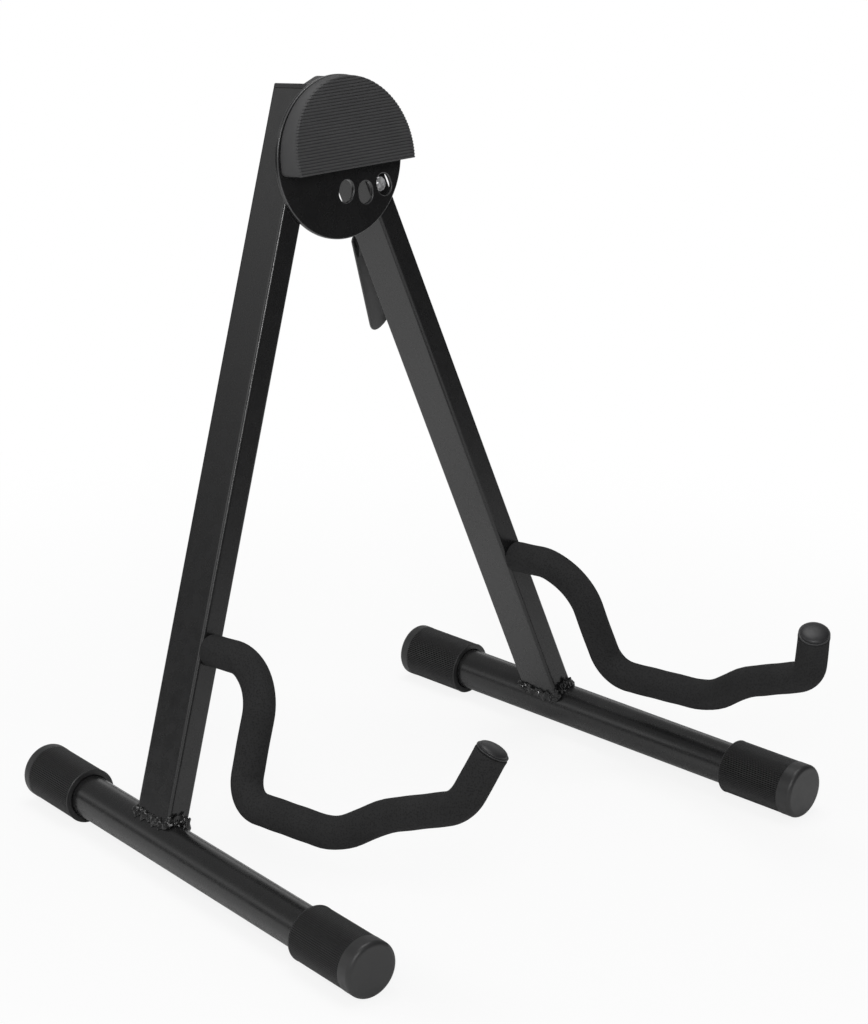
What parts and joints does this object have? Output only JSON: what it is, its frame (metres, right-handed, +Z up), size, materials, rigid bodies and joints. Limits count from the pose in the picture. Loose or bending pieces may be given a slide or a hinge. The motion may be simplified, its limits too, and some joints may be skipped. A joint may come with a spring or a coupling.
{
  "type": "cello stand",
  "caption": "Folding tube-leg instrument stand with foam-covered cradle arms, a ribbed back pad on a round head plate, and a squeeze lever that frees the folding leg.",
  "frame": {"origin": "on the floor, under the middle of the whole stand's box", "axes": "+Z up, the arms and the back pad face -Y, and the folding leg is on the +X side"},
  "size_m": [0.3816, 0.3618, 0.429],
  "materials": {
    "powder_coat": "black powder coat, satin",
    "cap_rubber": "moulded, matte",
    "pad_rubber": "moulded and ribbed, matte",
    "foam": "closed-cell foam, soft and dull",
    "plug_plastic": "moulded, satin",
    "bright_steel": "bright plated",
    "zinc_steel": "zinc plated"
  },
  "bodies": {
    "left_side": {"left_leg_tube": "powder_coat", "left_leg_plug": "plug_plastic", "left_foot_tube": "powder_coat", "left_front_cap": "cap_rubber", "left_rear_cap": "cap_rubber", "left_foot_weld": "powder_coat", "left_yoke_rod": "zinc_steel", "left_yoke_sleeve": "foam", "left_yoke_tip": "plug_plastic", "head_disc": "powder_coat", "disc_weld_inner": "powder_coat", "disc_weld_outer": "powder_coat", "back_pad": "pad_rubber", "pad_screw_left": "zinc_steel", "pad_screw_right": "zinc_steel", "pivot_bolt": "zinc_steel", "front_washer": "zinc_steel", "rear_washer": "zinc_steel", "pivot_nut": "zinc_steel"},
    "right_side": {"right_leg_tube": "powder_coat", "right_leg_plug": "plug_plastic", "right_foot_tube": "powder_coat", "right_front_cap": "cap_rubber", "right_rear_cap": "cap_rubber", "right_foot_weld": "powder_coat", "right_yoke_rod": "zinc_steel", "right_yoke_sleeve": "foam", "right_yoke_tip": "plug_plastic", "lever_pin": "zinc_steel", "pin_spring": "zinc_steel"},
    "lever": {"lock_lever": "powder_coat"},
    "plunger": {"index_pin": "bright_steel"}
  },
  "joints": [
    {"name": "leg_fold", "type": "hinge", "parent": "left_side", "child": "right_side", "pos_m": [0.01788, 0.11863, 0.39978], "axis": [0, 0.9893, -0.1461], "range_deg": [0, 39.6]},
    {"name": "lever_squeeze", "type": "hinge", "parent": "right_side", "child": "lever", "pos_m": [0.04098, 0.11441, 0.33694], "axis": [0.9385, 0.0504, 0.3416], "range_deg": [-3.6, 9.1], "stiffness_Nm_per_rad": 1.5},
    {"name": "pin_travel", "type": "slide", "parent": "right_side", "child": "plunger", "axis": [0, -0.9893, 0.1461], "range_m": [-0.0016, 0.0039], "deforming": ["pin_spring"]}
  ],
  "couplings": [
    {"joint": "pin_travel", "follows": "lever_squeeze", "m_per_rad": 0.024}
  ]
}
